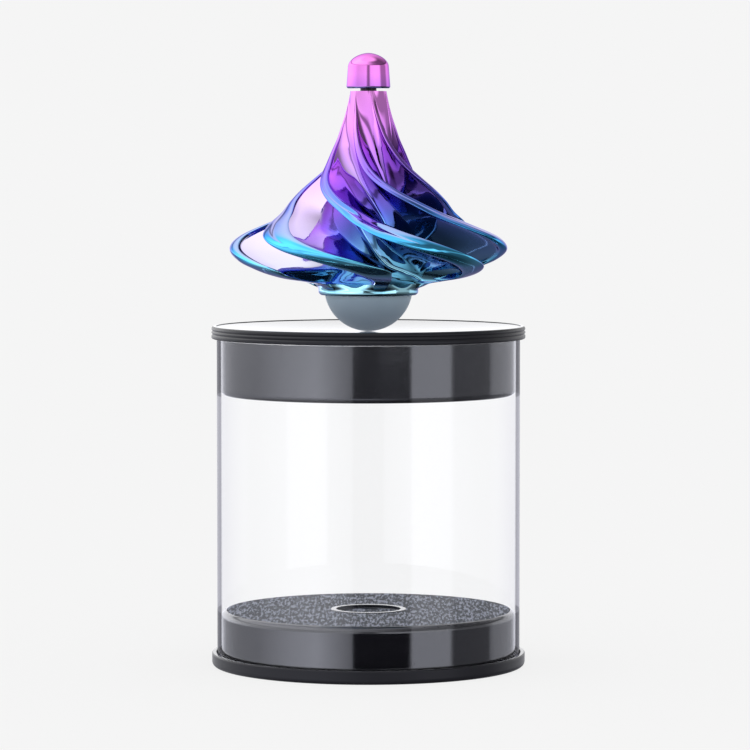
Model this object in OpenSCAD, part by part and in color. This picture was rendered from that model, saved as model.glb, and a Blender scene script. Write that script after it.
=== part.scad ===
// Light-up spinning top standing on the lid of its clear storage case.
// The origin is the centre of the case's underside, and +Z is up.
// Heights inside the top are counted from the lowest point of its ball.

/* [Case] */
// Outside diameter of the clear tube
tube_d = 60; // [56:0.5:70]
// Wall of the clear tube
tube_wall = 0.8; // [0.6:0.1:1.2]
// Length of the clear tube
tube_len = 62.86; // [60:0.01:90]
// Diameter of the rims of the base and the lid
rim_d = 62.1; // [62:0.1:75]
// Thickness of the base's rim under the tube
base_rim_h = 2.0; // [2:0.1:4]
// Height that the base's plug reaches into the tube
base_plug_h = 9.0; // [6:0.1:12]
// Thickness of the lid's rim above the tube
lid_rim_h = 2.5; // [2.3:0.05:4]
// Length that the lid's skirt reaches down into the tube
lid_skirt_h = 11.15; // [6:0.05:16]
// Depth of the dished standing face below the lid's rim
lid_recess = 1.1; // [0.4:0.1:1.2]

/* [Ball] */
// Diameter of the frosted ball
ball_d = 17.5; // [17:0.1:18]
// Wall of the frosted ball
ball_wall = 1.2; // [1:0.1:1.4]

/* [Rotor] */
// Number of spiral blades
blades = 6; // [6:1:6]
// Angle by which a blade's root leads its rim at the widest place
root_lead = 9; // [0:1:14]
// Rings drawn for each station of the rotor
rings_per_station = 1.5; // [1:0.5:2]

/* [Knob] */
// Largest diameter of the finger knob
knob_d = 8.7; // [8:0.1:9.5]
// Height of the finger knob
knob_h = 7.05; // [6:0.05:9]

/* [Hidden] */
$fn = 96;

// Clearance between parts that only touch
touch_gap = 0.02;
// Radial clearance of the plugs in the tube
plug_gap = 0.05;
// Overshoot of a cutting shape past the face it cuts
over = 1;

tube_r = tube_d / 2;
tube_in_r = tube_r - tube_wall;
plug_r = tube_in_r - plug_gap;
rim_r = rim_d / 2;
tube_z0 = base_rim_h + touch_gap;
tube_z1 = tube_z0 + tube_len;
lid_z0 = tube_z1 + touch_gap;
lid_z1 = lid_z0 + lid_rim_h;
stand_z = lid_z1 - lid_recess;
gyro_z = stand_z + touch_gap;

// Base of the case
deck_z = base_rim_h + base_plug_h;
pocket_r = 6.4;
pocket_depth = 0.6;
pocket_ring_r = 7.45;
pocket_ring_h = 0.15;
base_wall = 1.8;
plug_edge_r = 1.4;
rim_edge_r = 0.9;
rim_lip_w = 0.9;
rim_lip_h = 0.7;

// Lid of the case
skirt_wall = 1.25;
skirt_edge_r = 1.0;
lid_plate = 1.3;
lid_lip_w = 1.0;
lid_edge_r = 0.6;
lid_groove_r = 0.25;
// Heights of the grooves round the rim, as shares of its thickness
lid_grooves = [0.36, 0.64];
// Radius of the flat middle that the ball stands on, and the steps of the dish around it
dish_flat_r = 3;
dish_steps = 12;

// Heights inside the top
ball_r = ball_d / 2;
ball_in_r = ball_r - ball_wall;
dome_top_h = 8.3;
board_h0 = 4.8;
board_h1 = 5.6;
board_r = 6.25;
cell_r = 5;
cell_h0 = 5.7;
cell_h1 = 7.3;
clip_sheet = 0.2;
clip_w = 3;
carrier_r = 8.7;
carrier_h1 = 9.1;
spigot_r = 7.3;
spigot_wall = 0.7;
spigot_h0 = 7.4;
post_r = 0.5;
post_ring_r = 5.65;
post_foot_h = 4.55;
boss_r = 2.2;

// Shaft
shaft_r = 1.5;
shaft_tip_r = 1.0;
shaft_h0 = 7.7;
shaft_h1 = 51.4;
clip_groove_r = 1.1;
clip_h0 = 7.85;
clip_h1 = 8.25;
clip_r = 2.6;

// Bearings: [bore radius, inner race radius, outer race bore, outside radius, width, ball radius, balls]
lower_bearing = [1.5, 2.3, 3.2, 4.0, 4.0, 0.79, 7];
upper_bearing = [1.0, 1.4, 2.1, 2.5, 2.5, 0.50, 8];
lower_h = 10.3;
upper_h = lower_h + 34;
race_slack = 0.03;
cage_slack = 0.05;
shield_t = 0.15;
shield_inset = 0.08;

// Hub that holds the lower bearing inside the rotor
hub_h0 = 9.4;
hub_step_r = 6;
hub_step_h = 10.6;
housing_r = 4.7;
housing_h1 = 14.9;
shoulder_bore_r = 3.3;
retainer_h0 = 9.85;
retainer_h1 = 10.25;
retainer_r = 4.3;

// Rotor and its bore
rotor_h0 = 7.2;
rotor_h1 = 47.35;
skirt_in_r = 9.0;
rotor_bore_r = 3.0;
fit_gap = 0.05;
bush_lip_r = 2.1;
bush_lip_h = 0.5;
knob_h0 = rotor_h1 + 0.5;

// Stations down the rotor:
// [height, turn of the rim, rim radius, valley radius, half the rim's width as an angle]
STATIONS = [
    [rotor_h1, -49.0, 3.66, 3.60, 7.0],
    [45.0, -43.0, 4.10, 3.62, 6.0],
    [42.5, -36.0, 4.68, 3.66, 5.4],
    [40.0, -29.5, 5.50, 3.72, 5.0],
    [37.8, -22.8, 6.30, 3.80, 5.0],
    [35.4, -14.5, 7.55, 3.90, 5.1],
    [33.0, -5.5, 9.00, 4.00, 5.2],
    [30.6, 5.5, 11.0, 4.15, 5.6],
    [28.3, 18.5, 13.1, 4.30, 6.0],
    [25.9, 34.0, 15.3, 4.50, 6.8],
    [23.5, 49.5, 17.8, 4.70, 7.8],
    [21.2, 62.5, 21.9, 4.90, 8.8],
    [18.8, 75.5, 26.0, 5.10, 9.6],
    [16.4, 90.5, 27.5, 5.30, 10.2],
    [14.0, 109.0, 26.3, 5.60, 10.2],
    [12.6, 119.5, 24.6, 6.10, 10.0],
    [11.5, 124.5, 22.6, 7.10, 7.2],
    [10.6, 127.8, 19.6, 8.30, 5.6],
    [10.0, 130.3, 15.8, 9.15, 5.6],
    [9.5, 131.8, 12.8, 9.62, 6.5],
    [8.9, 132.6, 11.2, 9.84, 7.0],
    [8.35, 132.8, 10.0, 9.90, 6.0],
    [7.6, 132.8, 9.88, 9.86, 6.0],
    [rotor_h0, 132.8, 9.52, 9.50, 6.0]
];
LAST = len(STATIONS) - 1;
ring_count = floor(LAST * rings_per_station) + 1;

// Columns of a station
HEIGHT = 0;
TURN = 1;
RIM = 2;
VALLEY = 3;
WIDTH = 4;

// Thickness of the sheet between hub and rim, as a share of the rim's, and the depth at which it is reached
sheet_share = 0.58;
share_depth = 7;
// Blade depth at which root_lead is reached
full_blade = 22;
fillet_steps = 3;
cap_steps = 2;
// Power of the rim's rounding: 1 is a circle, less is squarer
cap_power = 0.75;
half_steps = fillet_steps + 2 + cap_steps;

// Station number s, which may be a fraction, on a Catmull-Rom curve through the table
function row(i) = STATIONS[max(0, min(LAST, i))];
function station(s) =
    let (i = min(floor(s), LAST - 1), t = s - i)
    let (a = row(i - 1), b = row(i), c = row(i + 1), d = row(i + 2))
    0.5 * (2 * b + (c - a) * t + (2 * a - 5 * b + 4 * c - d) * t * t
        + (3 * b - a - 3 * c + d) * t * t * t);

// Lengths along a blade whose depth from valley to rim is d
function fillet_len(d) = min(0.75 * d, 2 + 0.12 * d);
function cap_len(d) = min(0.4 * d, 0.3 + 0.047 * d);

// One point of half a blade's outline, as [distance out from the valley, half angle]
// Step 0 is the middle of the valley and step half_steps is the tip of the rim
function blade_point(step, d, w) =
    let (half_pitch = 180 / blades, f = fillet_len(d), c = cap_len(d))
    let (ws = w * (1 - (1 - sheet_share) * min(1, d / share_depth)))
    step <= fillet_steps
        ? let (t = 90 * step / fillet_steps)
          [f * (1 - cos(t)), half_pitch - (half_pitch - ws) * sin(t)]
        : step == fillet_steps + 1
        ? [max(f, d - 1.8 * c), ws]
        : let (t = 90 * (step - fillet_steps - 2) / cap_steps)
          [d - c + c * pow(sin(t), cap_power), w * pow(cos(t), cap_power)];

// One ring of the rotor, blade by blade, each from valley to rim and back
function ring(s) =
    let (st = station(s), d = st[RIM] - st[VALLEY], lead = root_lead * d / full_blade)
    [for (k = [0 : blades - 1], j = [-half_steps : half_steps - 1])
        let (p = blade_point(half_steps - abs(j), d, st[WIDTH]))
        let (side = j < 0 ? -1 : 1)
        let (a = st[TURN] - 90 + 360 * k / blades + lead * (1 - p[0] / d) + side * p[1])
        let (r = st[VALLEY] + p[0])
        [r * cos(a), r * sin(a), st[HEIGHT]]];

// A circle of as many points as a ring, started where the ring at station s starts
function bore_ring(s, r, h) =
    let (n = 2 * blades * half_steps, start = station(s)[TURN] - 90 - 180 / blades)
    [for (j = [0 : n - 1]) let (a = start + 360 * j / n) [r * cos(a), r * sin(a), h]];

// Stepped bore of the rotor, from the open skirt around the ball up to the neck
// The neck's ring starts half a turn on, which undoes the twist between the two ends
function bore_rings() =
    let (step_r = hub_step_r + fit_gap, step_h = hub_step_h + fit_gap)
    let (seat_r = housing_r + fit_gap, seat_h = housing_h1 + fit_gap)
    let (neck = bore_ring(0, rotor_bore_r, rotor_h1), n = len(neck))
    [
        bore_ring(LAST, skirt_in_r, rotor_h0),
        bore_ring(LAST, skirt_in_r, hub_h0),
        bore_ring(LAST, step_r, hub_h0),
        bore_ring(LAST, step_r, step_h),
        bore_ring(LAST, seat_r, step_h),
        bore_ring(LAST, seat_r, seat_h),
        bore_ring(LAST, rotor_bore_r, seat_h),
        [for (j = [0 : n - 1]) neck[(j + n / 2) % n]]
    ];

// Faces between ring i and ring k of n points each, ring k entered shift points on
function band(i, k, n, shift = 0) = [for (j = [0 : n - 1])
    let (a = i * n + j, b = i * n + (j + 1) % n)
    let (c = k * n + (j + 1 + shift) % n, d = k * n + (j + shift) % n)
    each [[a, b, c], [a, c, d]]];

function flat_points(rings) = [for (one = rings, p = one) p];

// Solid from a stack of rings with a flat cap on each end
module ring_stack(rings) {
    n = len(rings[0]);
    last = len(rings) - 1;
    sides = [for (i = [0 : last - 1]) each band(i, i + 1, n)];
    top = [for (j = [n - 1 : -1 : 0]) j];
    bottom = [for (j = [0 : n - 1]) last * n + j];
    polyhedron(points = flat_points(rings), faces = concat(sides, [top, bottom]), convexity = 8);
}

// Solid from rings that run down the outside and back up the bore, half a turn out at the top
module ring_loop(rings) {
    n = len(rings[0]);
    last = len(rings) - 1;
    sides = [for (i = [0 : last - 1]) each band(i, i + 1, n)];
    faces = concat(sides, band(last, 0, n, n / 2));
    polyhedron(points = flat_points(rings), faces = faces, convexity = 8);
}

// Places the top on the lid
module on_lid() {
    translate([0, 0, gyro_z]) children();
}

// A ring with the given radii and heights
module tube(r0, r1, h0, h1) {
    translate([0, 0, h0]) difference() {
        cylinder(r = r1, h = h1 - h0);
        translate([0, 0, -over]) cylinder(r = r0, h = h1 - h0 + 2 * over);
    }
}

// A rectangle from one corner to the other, for turned outlines
module span(r0, z0, r1, z1) {
    translate([r0, z0]) square([r1 - r0, z1 - z0]);
}

module case_base() {
    color([0.05, 0.05, 0.06])
    rotate_extrude() difference() {
        union() {
            span(0, 0, rim_r - rim_edge_r, base_rim_h);
            span(0, rim_edge_r, rim_r, base_rim_h);
            intersection() {
                translate([rim_r - rim_edge_r, rim_edge_r]) circle(r = rim_edge_r);
                span(0, 0, rim_r, base_rim_h);
            }
            span(rim_r - rim_lip_w, base_rim_h - over, rim_r, base_rim_h + rim_lip_h);
            span(0, over, plug_r - plug_edge_r, deck_z);
            span(0, over, plug_r, deck_z - plug_edge_r);
            translate([plug_r - plug_edge_r, deck_z - plug_edge_r]) circle(r = plug_edge_r);
            span(0, over, pocket_ring_r, deck_z + pocket_ring_h);
        }
        span(-over, -over, 0, deck_z + over);
        span(0, deck_z - pocket_depth, pocket_r, deck_z + over);
        span(0, -over, plug_r - base_wall, deck_z - pocket_depth - base_wall);
        span(pocket_r + base_wall, -over, plug_r - base_wall, deck_z - base_wall);
    }
}

module case_tube() {
    color([0.9, 0.95, 1, 0.25]) tube(tube_in_r, tube_r, tube_z0, tube_z1);
}

// Outline of the room over the dished standing face, which rises faster towards the rim
function dish_outline() =
    let (dish_r = rim_r - lid_lip_w)
    concat(
        [[0, lid_z1 + over], [0, stand_z]],
        [for (i = [0 : dish_steps]) let (t = i / dish_steps)
            [dish_flat_r + (dish_r - dish_flat_r) * t, stand_z + lid_recess * t * t]],
        [[dish_r, lid_z1 + over]]);

module case_lid() {
    skirt_z = lid_z0 - lid_skirt_h;
    color([0.05, 0.05, 0.06])
    rotate_extrude() difference() {
        union() {
            span(0, lid_z0, rim_r, lid_z1 - lid_edge_r);
            span(0, lid_z0, rim_r - lid_edge_r, lid_z1);
            translate([rim_r - lid_edge_r, lid_z1 - lid_edge_r]) circle(r = lid_edge_r);
            span(plug_r - skirt_wall, skirt_z + skirt_edge_r, plug_r, lid_z0 + over);
            span(plug_r - skirt_wall, skirt_z, plug_r - skirt_edge_r, lid_z0);
            translate([plug_r - skirt_edge_r, skirt_z + skirt_edge_r]) circle(r = skirt_edge_r);
            span(0, stand_z - lid_plate, plug_r, lid_z0 + over);
        }
        polygon(dish_outline());
        span(0, skirt_z - over, plug_r - skirt_wall, stand_z - lid_plate);
        for (share = lid_grooves) translate([rim_r, lid_z0 + lid_rim_h * share]) circle(r = lid_groove_r);
        span(-over, skirt_z - over, 0, lid_z1 + over);
    }
}

module ball_dome() {
    color([0.45, 0.52, 0.58, 0.8])
    on_lid() difference() {
        translate([0, 0, ball_r]) sphere(r = ball_r);
        translate([0, 0, ball_r]) sphere(r = ball_in_r);
        translate([0, 0, dome_top_h]) cylinder(r = ball_d, h = ball_d);
    }
}

// Places a child at each of the carrier's three posts
module at_posts() {
    for (a = [90 : 120 : 330]) rotate([0, 0, a]) translate([post_ring_r, 0, 0]) children();
}

module core_carrier() {
    // Height inside the disc at which its spigot, boss and posts are rooted
    mid_h = (dome_top_h + carrier_h1) / 2;
    color([0.85, 0.87, 0.9])
    on_lid() difference() {
        union() {
            translate([0, 0, dome_top_h]) cylinder(r = carrier_r, h = carrier_h1 - dome_top_h);
            tube(spigot_r - spigot_wall, spigot_r, spigot_h0, mid_h);
            translate([0, 0, mid_h]) cylinder(r = boss_r, h = lower_h - mid_h);
            at_posts() translate([0, 0, post_foot_h]) cylinder(r = post_r, h = mid_h - post_foot_h);
        }
        translate([0, 0, dome_top_h - over]) cylinder(r = shaft_r, h = lower_h - dome_top_h + 2 * over);
    }
}

module led_board() {
    color([0.05, 0.35, 0.15])
    on_lid() difference() {
        translate([0, 0, board_h0]) cylinder(r = board_r, h = board_h1 - board_h0);
        at_posts() translate([0, 0, board_h0 - over]) cylinder(r = post_r, h = 2 * over + 1);
    }
}

module leds() {
    led = [2.4, 2.8, 1.4];
    color([0.95, 0.95, 0.8])
    on_lid() for (a = [30 : 120 : 270]) rotate([0, 0, a])
        translate([3.2 - led[0] / 2, -led[1] / 2, board_h0 - led[2]]) cube(led);
}

module flash_chip() {
    cap_r = 1.2;
    cap_h = 0.7;
    // Radius of the sphere whose cap is cap_r wide and cap_h deep
    round_r = (cap_r * cap_r + cap_h * cap_h) / (2 * cap_h);
    color([0.05, 0.05, 0.05])
    on_lid() translate([0, 3.1, board_h0]) intersection() {
        translate([0, 0, round_r - cap_h]) sphere(r = round_r);
        translate([0, 0, -cap_h - over]) cylinder(r = 2 * cap_r, h = cap_h + over);
    }
}

// Points of a coil hanging from the board: round wire on a helix
coil_r = 0.85;
coil_wire_r = 0.12;
coil_pitch = 0.42;
coil_turns = 6;
coil_sides = 8;
coil_steps = 16;

function coil_ring(i) =
    let (turn = 360 * i / coil_steps, drop = coil_wire_r + coil_pitch * i / coil_steps)
    [for (j = [0 : coil_sides - 1])
        let (t = -360 * j / coil_sides, r = coil_r + coil_wire_r * cos(t))
        [r * cos(turn), r * sin(turn), board_h0 - drop + coil_wire_r * sin(t)]];

module switch_spring() {
    color([0.8, 0.7, 0.35])
    on_lid() ring_stack([for (i = [0 : coil_turns * coil_steps]) coil_ring(i)]);
}

module switch_pin() {
    pin_r = 0.25;
    pin_len = 2.4;
    color([0.8, 0.7, 0.35])
    on_lid() translate([0, 0, board_h0 - pin_len]) cylinder(r = pin_r, h = pin_len);
}

module coin_cell() {
    can_step = 0.4;
    color([0.75, 0.76, 0.78])
    on_lid() {
        translate([0, 0, cell_h0 + can_step]) cylinder(r = cell_r, h = cell_h1 - cell_h0 - can_step);
        translate([0, 0, cell_h0]) cylinder(r = cell_r - can_step, h = can_step);
    }
}

module battery_clip() {
    reach = cell_r + 0.15;
    color([0.8, 0.8, 0.82])
    on_lid() difference() {
        translate([-reach - clip_sheet, -clip_w / 2, board_h1])
            cube([2 * (reach + clip_sheet), clip_w, cell_h1 + clip_sheet - board_h1]);
        translate([-reach, -clip_w, board_h1 - over]) cube([2 * reach, 2 * clip_w, cell_h1 - board_h1 + over]);
    }
}

module shaft() {
    color([0.78, 0.79, 0.8])
    on_lid() difference() {
        union() {
            translate([0, 0, shaft_h0]) cylinder(r = shaft_r, h = upper_h - shaft_h0);
            translate([0, 0, shaft_h0]) cylinder(r = shaft_tip_r, h = shaft_h1 - shaft_h0);
        }
        tube(clip_groove_r, shaft_r + over, clip_h0, clip_h1);
    }
}

module shaft_clip() {
    color([0.6, 0.6, 0.62])
    on_lid() difference() {
        tube(clip_groove_r, clip_r, clip_h0, clip_h1);
        translate([0, -clip_groove_r * 0.8, clip_h0 - over])
            cube([clip_r + over, clip_groove_r * 1.6, clip_h1 - clip_h0 + 2 * over]);
    }
}

module knob_washer() {
    color([0.2, 0.2, 0.22])
    on_lid() tube(shaft_tip_r, 1.6, upper_h + upper_bearing[4], knob_h0);
}

// Outline of the knob: near-straight side, softly pointed dome on top
function knob_outline() =
    let (r = knob_d / 2, side_h = knob_h * 0.6, dome_h = knob_h - side_h, foot = 0.45)
    concat(
        [for (t = [-90 : 15 : 0]) [r - foot + foot * cos(t), foot + foot * sin(t)]],
        [for (t = [0 : 6 : 90]) [r * 0.935 * pow(cos(t), 1.15), side_h + dome_h * sin(t)]],
        [[0, 0]]);

module finger_knob() {
    color([0.9, 0.45, 0.9])
    on_lid() difference() {
        translate([0, 0, knob_h0]) rotate_extrude() polygon(knob_outline());
        translate([0, 0, knob_h0 - over]) cylinder(r = shaft_tip_r, h = shaft_h1 - knob_h0 + over);
    }
}

function pitch_r(b) = (b[1] + b[2]) / 2;

// Inner race of bearing b with its ball groove
module inner_race(b) {
    rotate_extrude() difference() {
        span(b[0], 0, b[1], b[4]);
        translate([pitch_r(b), b[4] / 2]) circle(r = b[5] + race_slack);
    }
}

// Outer race of bearing b with its ball groove
module outer_race(b) {
    rotate_extrude() difference() {
        span(b[2], 0, b[3], b[4]);
        translate([pitch_r(b), b[4] / 2]) circle(r = b[5] + race_slack);
    }
}

module bearing_balls(b, r) {
    for (i = [0 : b[6] - 1]) rotate([0, 0, 360 * i / b[6]])
        translate([pitch_r(b), 0, b[4] / 2]) sphere(r = r);
}

// Crown cage: open below the balls, one whole ring above them
module bearing_cage(b) {
    mid = b[4] / 2;
    difference() {
        tube(b[1] + 0.1, b[2] - 0.1, mid - 0.4 * b[5], mid + 1.4 * b[5]);
        bearing_balls(b, b[5] + cage_slack);
    }
}

module bearing_shields(b) {
    for (h = [shield_inset, b[4] - shield_inset - shield_t])
        tube(b[1] + 0.06, b[2], h, h + shield_t);
}

module lower() {
    on_lid() translate([0, 0, lower_h]) children();
}

module upper() {
    on_lid() translate([0, 0, upper_h]) children();
}

module lower_inner_race() { color([0.75, 0.76, 0.78]) lower() inner_race(lower_bearing); }
module lower_balls() { color([0.85, 0.86, 0.88]) lower() bearing_balls(lower_bearing, lower_bearing[5]); }
module lower_cage() { color([0.7, 0.62, 0.4]) lower() bearing_cage(lower_bearing); }
module lower_outer_race() { color([0.75, 0.76, 0.78]) lower() outer_race(lower_bearing); }
module lower_shields() { color([0.65, 0.66, 0.68]) lower() bearing_shields(lower_bearing); }
module upper_inner_race() { color([0.75, 0.76, 0.78]) upper() inner_race(upper_bearing); }
module upper_balls() { color([0.85, 0.86, 0.88]) upper() bearing_balls(upper_bearing, upper_bearing[5]); }
module upper_cage() { color([0.7, 0.62, 0.4]) upper() bearing_cage(upper_bearing); }
module upper_outer_race() { color([0.75, 0.76, 0.78]) upper() outer_race(upper_bearing); }
module upper_shields() { color([0.65, 0.66, 0.68]) upper() bearing_shields(upper_bearing); }

module bearing_retainer() {
    color([0.6, 0.6, 0.62])
    on_lid() difference() {
        tube(retainer_r - 0.9, retainer_r, retainer_h0, retainer_h1);
        translate([0, -0.6, retainer_h0 - over]) cube([retainer_r + over, 1.2, 2 * over + 1]);
    }
}

module bearing_hub() {
    color([0.55, 0.85, 0.9])
    on_lid() rotate_extrude() difference() {
        union() {
            span(0, hub_h0, hub_step_r, hub_step_h);
            span(0, hub_h0, housing_r, housing_h1);
        }
        span(-over, hub_h0 - over, shoulder_bore_r, housing_h1 + over);
        span(0, hub_h0 - over, lower_bearing[3], lower_h + lower_bearing[4]);
        span(0, retainer_h0, retainer_r, retainer_h1);
    }
}

// Bush that seats the upper bearing in the rotor's neck
module neck_bush() {
    color([0.72, 0.66, 0.4])
    on_lid() {
        tube(upper_bearing[3], rotor_bore_r - fit_gap, upper_h, rotor_h1 - fit_gap);
        tube(bush_lip_r, rotor_bore_r - fit_gap, upper_h - bush_lip_h, upper_h);
    }
}

module rotor() {
    outside = [for (i = [0 : ring_count - 1]) ring(i * LAST / (ring_count - 1))];
    color([0.55, 0.4, 0.9])
    on_lid() ring_loop(concat(outside, bore_rings()));
}

case_base();
case_tube();
case_lid();
ball_dome();
core_carrier();
led_board();
leds();
flash_chip();
switch_spring();
switch_pin();
coin_cell();
battery_clip();
shaft();
shaft_clip();
knob_washer();
finger_knob();
lower_inner_race();
lower_balls();
lower_cage();
lower_outer_race();
lower_shields();
upper_inner_race();
upper_balls();
upper_cage();
upper_outer_race();
upper_shields();
bearing_retainer();
neck_bush();
bearing_hub();
rotor();
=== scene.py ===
"""Looks of the light-up spinning top standing on its clear storage case.

Lengths in this script are millimetres until a mesh is made, and the frame's own metres after that.
Azimuths are degrees counted from the front (-Y) towards +X, as seen from above.
"""
import math

import bmesh
import bpy
import numpy as np
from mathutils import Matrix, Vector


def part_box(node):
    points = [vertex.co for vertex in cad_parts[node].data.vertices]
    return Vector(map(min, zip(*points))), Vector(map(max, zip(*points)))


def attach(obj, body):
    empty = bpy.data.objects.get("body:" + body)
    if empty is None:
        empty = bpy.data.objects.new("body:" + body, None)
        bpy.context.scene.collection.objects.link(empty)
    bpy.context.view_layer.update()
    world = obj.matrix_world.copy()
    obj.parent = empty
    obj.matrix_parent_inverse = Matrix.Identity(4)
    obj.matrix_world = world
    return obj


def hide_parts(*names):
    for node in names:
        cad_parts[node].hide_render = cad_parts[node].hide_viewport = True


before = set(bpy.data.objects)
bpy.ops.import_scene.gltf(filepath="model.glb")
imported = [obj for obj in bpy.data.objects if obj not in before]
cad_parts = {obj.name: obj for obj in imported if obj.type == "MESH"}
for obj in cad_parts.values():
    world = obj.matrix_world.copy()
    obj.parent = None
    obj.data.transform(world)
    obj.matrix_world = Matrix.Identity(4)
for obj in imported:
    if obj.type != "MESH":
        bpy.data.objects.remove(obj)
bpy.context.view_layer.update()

MM = 0.001


# ---------------------------------------------------------------- sizes read from the frame

def low(node, axis=2):
    """Lowest coordinate of a CAD node, in millimetres."""
    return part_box(node)[0][axis] / MM


def high(node, axis=2):
    """Highest coordinate of a CAD node, in millimetres."""
    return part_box(node)[1][axis] / MM


TUBE_R = high("case_tube", 0)
TUBE_Z0, TUBE_Z1 = low("case_tube"), high("case_tube")
RIM_R = high("case_base", 0)
BALL_R = high("ball_dome", 0)
GYRO_Z = low("ball_dome")
KNOB_R = high("finger_knob", 0)

# Sizes of the CAD that its boxes don't show, and of the finer edges that the shells add.
# Wall of the tube, play of the plugs in it, and the gap between pieces that rest on each other
TUBE_WALL = 0.8
PLUG_R = TUBE_R - TUBE_WALL - 0.05
GAP = 0.02
# Base: its rim, the lip round the rim, the ring round the pocket, and the wall all over
BASE_RIM_H = 2.0
BASE_LIP_H = 0.7
LIP_W = 0.9
POCKET_R = 6.4
POCKET_DEPTH = 0.6
RING_W = 1.1
RING_H = 0.15
BASE_WALL = 1.8
# Lid: the flat middle of its dish, the crest round it, its grooves, and the walls of skirt and plate
DISH_FLAT_R = 3.0
CREST_W = 1.0
CREST_H = 0.22
GROOVE_SHARES = (0.64, 0.36)
GROOVE_DEPTH = 0.25
SKIRT_WALL = 1.25
PLATE_WALL = 1.3
# Ball and knob: wall of the bowl, rounding of the knob's foot, and how much of the knob is its straight side
BOWL_WALL = 1.2
KNOB_FOOT = 0.45
KNOB_SIDE = 0.6


# ---------------------------------------------------------------- mesh helpers

def add_object(name, points, faces, body, material, sharp=35, marks=None):
    """A piece from points in millimetres, shaded smooth except over edges sharper than sharp degrees.

    marks gives a number per point under each name, for the material to read.
    """
    mesh = bpy.data.meshes.new(name)
    mesh.from_pydata([tuple(c * MM for c in p) for p in points], [], faces)
    bm = bmesh.new()
    bm.from_mesh(mesh)
    bmesh.ops.recalc_face_normals(bm, faces=bm.faces)
    bm.to_mesh(mesh)
    bm.free()
    mesh.polygons.foreach_set("use_smooth", [True] * len(mesh.polygons))
    mesh.set_sharp_from_angle(angle=math.radians(sharp))
    mesh.materials.append(material)
    for mark, values in (marks or {}).items():
        mesh.attributes.new(mark, "FLOAT", "POINT").data.foreach_set("value", values)
    obj = bpy.data.objects.new(name, mesh)
    bpy.context.collection.objects.link(obj)
    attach(obj, body)
    return obj


def arc(cr, cz, radius, start, end, steps=8):
    """Points on an arc in the (radius, height) plane, angles in degrees from +radius towards +height."""
    angles = [math.radians(start + (end - start) * i / steps) for i in range(steps + 1)]
    return [(cr + radius * math.cos(a), cz + radius * math.sin(a)) for a in angles]


def rounded(corners, steps=6):
    """Outline through corners given as (radius, height, fillet); each corner is rounded by its fillet."""
    outline = []
    count = len(corners)
    for i, (r, z, fillet) in enumerate(corners):
        if fillet <= 0:
            outline.append((r, z))
            continue
        here = np.array([r, z])
        before = np.array(corners[i - 1][:2]) - here
        after = np.array(corners[(i + 1) % count][:2]) - here
        u, v = before / np.linalg.norm(before), after / np.linalg.norm(after)
        half = math.acos(max(-1, min(1, float(u @ v)))) / 2
        reach = fillet / math.tan(half)
        centre = here + (u + v) / np.linalg.norm(u + v) * fillet / math.sin(half)
        start, end = here + u * reach - centre, here + v * reach - centre
        sweep = math.pi - 2 * half
        for k in range(steps + 1):
            t = k / steps
            direction = start * math.sin((1 - t) * sweep) + end * math.sin(t * sweep)
            outline.append(tuple(centre + direction / np.linalg.norm(direction) * fillet))
    return outline


def supported(outline, reach=0.08, least=0.5):
    """The closed outline with a point just inside each end of its long sides, so they shade as straight."""
    out = []
    for a, b in zip(outline, outline[1:] + outline[:1]):
        out.append(a)
        length = math.dist(a, b)
        if length > least and max(a[0], b[0]) > 0:
            for t in (reach / length, 1 - reach / length):
                out.append((a[0] + (b[0] - a[0]) * t, a[1] + (b[1] - a[1]) * t))
    return out


def lathe(name, outline, body, material, steps=224, sharp=35):
    """Turned piece from a closed outline of (radius, height) points; a point on the axis becomes a pole."""
    points, rings = [], []
    for r, z in outline:
        if r < 1e-6:
            rings.append([len(points)] * steps)
            points.append((0, 0, z))
            continue
        rings.append(list(range(len(points), len(points) + steps)))
        points += [(r * math.cos(2 * math.pi * j / steps), r * math.sin(2 * math.pi * j / steps), z)
                   for j in range(steps)]
    faces = []
    for ring, after in zip(rings, rings[1:] + rings[:1]):
        for j in range(steps):
            k = (j + 1) % steps
            corners = [ring[j], ring[k], after[k], after[j]]
            face = [c for i, c in enumerate(corners) if c != corners[i - 1]]
            if len(face) > 2:
                faces.append(face)
    return add_object(name, points, faces, body, material, sharp)


# ---------------------------------------------------------------- materials

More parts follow.
